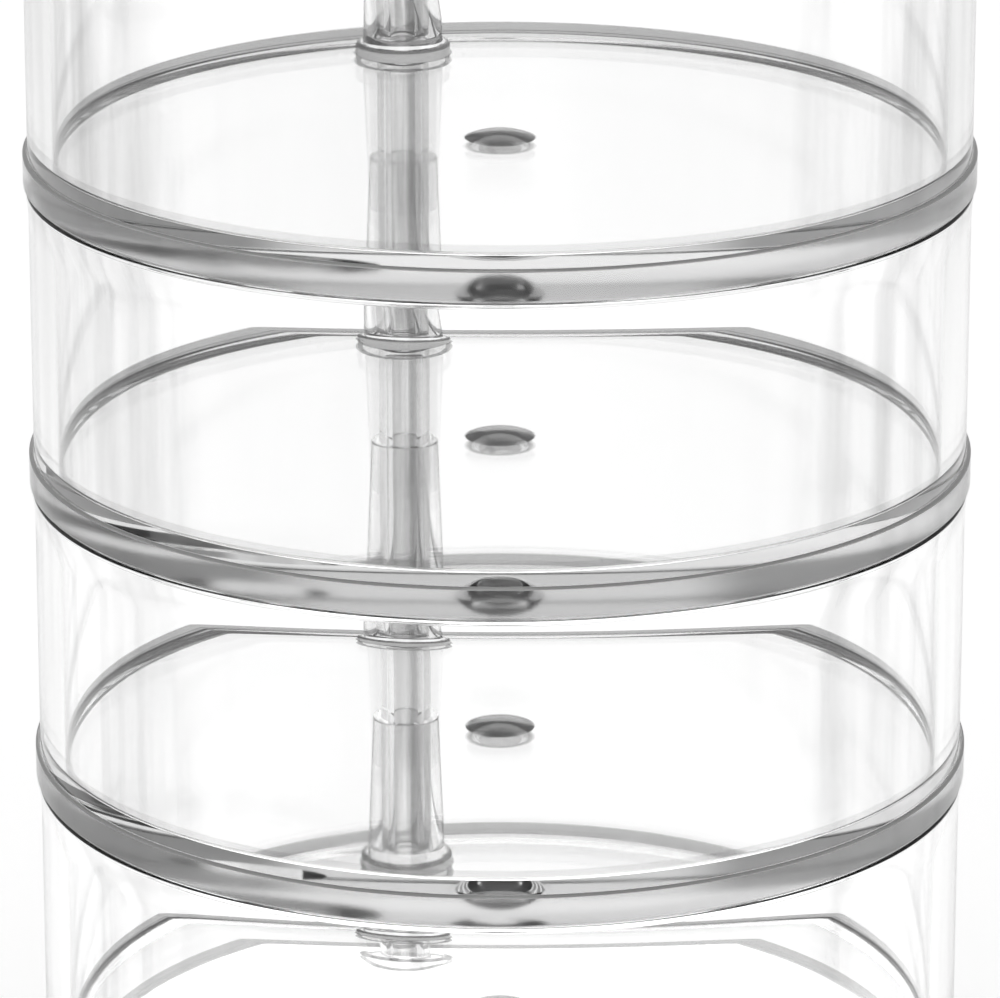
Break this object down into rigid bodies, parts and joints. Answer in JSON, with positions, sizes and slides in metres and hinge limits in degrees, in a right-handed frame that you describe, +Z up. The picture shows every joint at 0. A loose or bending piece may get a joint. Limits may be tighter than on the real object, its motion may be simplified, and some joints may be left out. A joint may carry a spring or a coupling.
{
  "type": "makeup and jewelry holder",
  "caption": "Clear round tower of stacked trays for makeup and jewelry; each tray and the lid swing sideways about one off-centre pivot line, on a shallow base.",
  "frame": {"origin": "middle of the base's underside", "axes": "+Z up along the tower, +Y from the tower's middle towards the pivot line"},
  "size_m": [0.1, 0.1, 0.1467],
  "materials": {
    "clear_plastic": "clear, polished"
  },
  "bodies": {
    "base_body": {"base": "clear_plastic"},
    "level_1": {"tray_1": "clear_plastic", "pivot_post_1": "clear_plastic"},
    "level_2": {"tray_2": "clear_plastic", "pivot_post_2": "clear_plastic"},
    "level_3": {"tray_3": "clear_plastic", "pivot_post_3": "clear_plastic"},
    "level_4": {"tray_4": "clear_plastic", "pivot_post_4": "clear_plastic"},
    "lid_body": {"lid": "clear_plastic", "lid_pin": "clear_plastic"}
  },
  "joints": [
    {"name": "swing_1", "type": "hinge", "parent": "base_body", "child": "level_1", "pos_m": [0, 0.039, 0.01], "axis": [0, 0, 1], "continuous": true},
    {"name": "swing_2", "type": "hinge", "parent": "level_1", "child": "level_2", "pos_m": [0, 0.039, 0.0427], "axis": [0, 0, 1], "continuous": true},
    {"name": "swing_3", "type": "hinge", "parent": "level_2", "child": "level_3", "pos_m": [0, 0.039, 0.0754], "axis": [0, 0, 1], "continuous": true},
    {"name": "swing_4", "type": "hinge", "parent": "level_3", "child": "level_4", "pos_m": [0, 0.039, 0.1081], "axis": [0, 0, 1], "continuous": true},
    {"name": "swing_lid", "type": "hinge", "parent": "level_4", "child": "lid_body", "pos_m": [0, 0.039, 0.1408], "axis": [0, 0, 1], "continuous": true}
  ]
}
